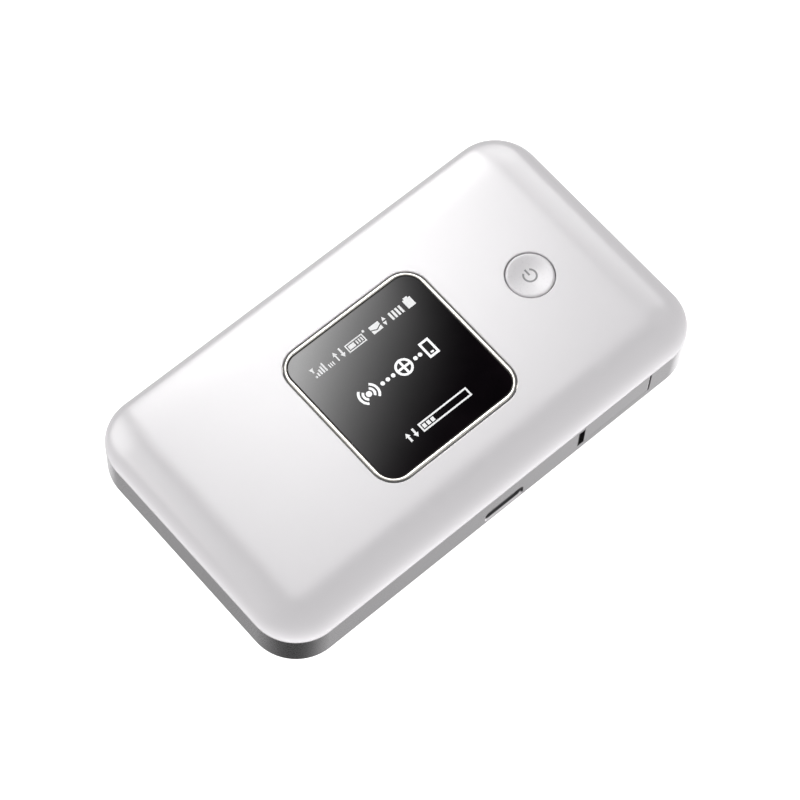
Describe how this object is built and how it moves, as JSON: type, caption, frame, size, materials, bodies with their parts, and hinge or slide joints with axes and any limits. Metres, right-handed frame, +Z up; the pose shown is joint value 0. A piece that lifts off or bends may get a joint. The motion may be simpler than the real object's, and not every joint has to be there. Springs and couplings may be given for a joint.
{
  "type": "mobile hotspot",
  "caption": "Pocket mobile hotspot: flat rounded case with a crowned white cover, silver band, square display window, round power button, USB port and antenna flap.",
  "frame": {"origin": "under the middle of the case, on the surface it lies on", "axes": "+X along the case towards the power button, +Y across it away from the USB socket, +Z up through the display"},
  "size_m": [0.108, 0.0616, 0.0155],
  "materials": {
    "white_gloss": "gloss white moulded plastic",
    "silver_band": "satin silver-grey paint",
    "white_back": "white moulded plastic with a fine texture inside",
    "trim_ring": "bright plated trim",
    "lens_black": "gloss black display lens",
    "display_stack": "display glass and polariser",
    "backlight": "light guide",
    "white_plastic": "white moulded plastic",
    "black_plastic": "black moulded plastic",
    "adhesive": "black adhesive film",
    "foam": "black foam",
    "flex": "amber polyimide flex",
    "board": "green solder mask",
    "can": "tinned steel",
    "chip": "black moulding compound",
    "antenna_foil": "copper foil",
    "steel": "plain steel",
    "gold": "gold-plated contact",
    "button_white": "satin white key cap",
    "symbol_grey": "grey printed icon",
    "silver_key": "satin silver-grey paint",
    "battery_wrap": "dark printed film over a pouch cell",
    "card": "white card plastic",
    "reset_red": "red moulded plastic",
    "screw_black": "black zinc-plated steel"
  },
  "bodies": {
    "housing": {"front_cover": "white_gloss", "mid_frame": "silver_band", "display_bezel": "trim_ring", "display_window": "lens_black", "window_adhesive": "adhesive", "lcd_panel": "display_stack", "lcd_backlight": "backlight", "lcd_frame": "white_plastic", "lcd_flex": "flex", "lcd_connector": "white_plastic", "lcd_cushion": "foam", "main_board": "board", "modem_shield": "can", "wifi_shield": "can", "power_shield": "can", "rf_shield": "can", "modem_chip": "chip", "memory_chip": "chip", "wifi_chip": "chip", "power_chip": "chip", "rf_chip": "chip", "main_antenna": "antenna_foil", "diversity_antenna": "antenna_foil", "wifi_antenna": "antenna_foil", "power_switch": "black_plastic", "menu_switch": "black_plastic", "reset_switch": "black_plastic", "usb_shell": "steel", "usb_tongue": "black_plastic", "usb_contacts": "gold", "hinge_pin": "steel", "antenna_bay": "black_plastic", "antenna_sockets": "gold", "battery_connector": "black_plastic", "battery_springs": "gold", "sim_socket": "steel", "housing_screws": "screw_black"},
    "power_key": {"power_button": "button_white", "power_symbol": "symbol_grey", "power_switch_plunger": "white_plastic"},
    "menu_key": {"menu_button": "silver_key", "menu_switch_plunger": "white_plastic"},
    "reset_key": {"reset_button": "reset_red"},
    "flap": {"antenna_flap": "silver_band"},
    "rear_cover": {"back_cover": "white_back"},
    "battery": {"battery_pack": "battery_wrap", "battery_end_cap": "black_plastic", "battery_contacts": "gold"},
    "sim": {"sim_card": "card", "sim_contacts": "gold"}
  },
  "joints": [
    {"name": "power_press", "type": "slide", "parent": "housing", "child": "power_key", "axis": [0, 0, -1], "range_m": [0, 0.00035], "stiffness_N_per_m": 1500},
    {"name": "menu_press", "type": "slide", "parent": "housing", "child": "menu_key", "axis": [-1, 0, 0], "range_m": [0, 0.00025], "stiffness_N_per_m": 1500},
    {"name": "reset_press", "type": "slide", "parent": "housing", "child": "reset_key", "axis": [0, 0, 1], "range_m": [0, 0.00025], "stiffness_N_per_m": 1000},
    {"name": "flap_hinge", "type": "hinge", "parent": "housing", "child": "flap", "pos_m": [0.0381, -0.0302, 0.0087], "axis": [0, 0, 1], "range_deg": [0, 90]},
    {"name": "back_cover_pull", "type": "slide", "parent": "housing", "child": "rear_cover", "axis": [0, 0, -1], "range_m": [0, 0.03]},
    {"name": "battery_lift", "type": "slide", "parent": "housing", "child": "battery", "axis": [0, 0, -1], "range_m": [0, 0.015]},
    {"name": "sim_pull", "type": "slide", "parent": "housing", "child": "sim", "axis": [-1, 0, 0], "range_m": [0, 0.012]}
  ],
  "couplings": [
    {"joint": "battery_lift", "follows": "back_cover_pull", "ratio": 0.5},
    {"joint": "sim_pull", "follows": "back_cover_pull", "ratio": 0.4}
  ]
}
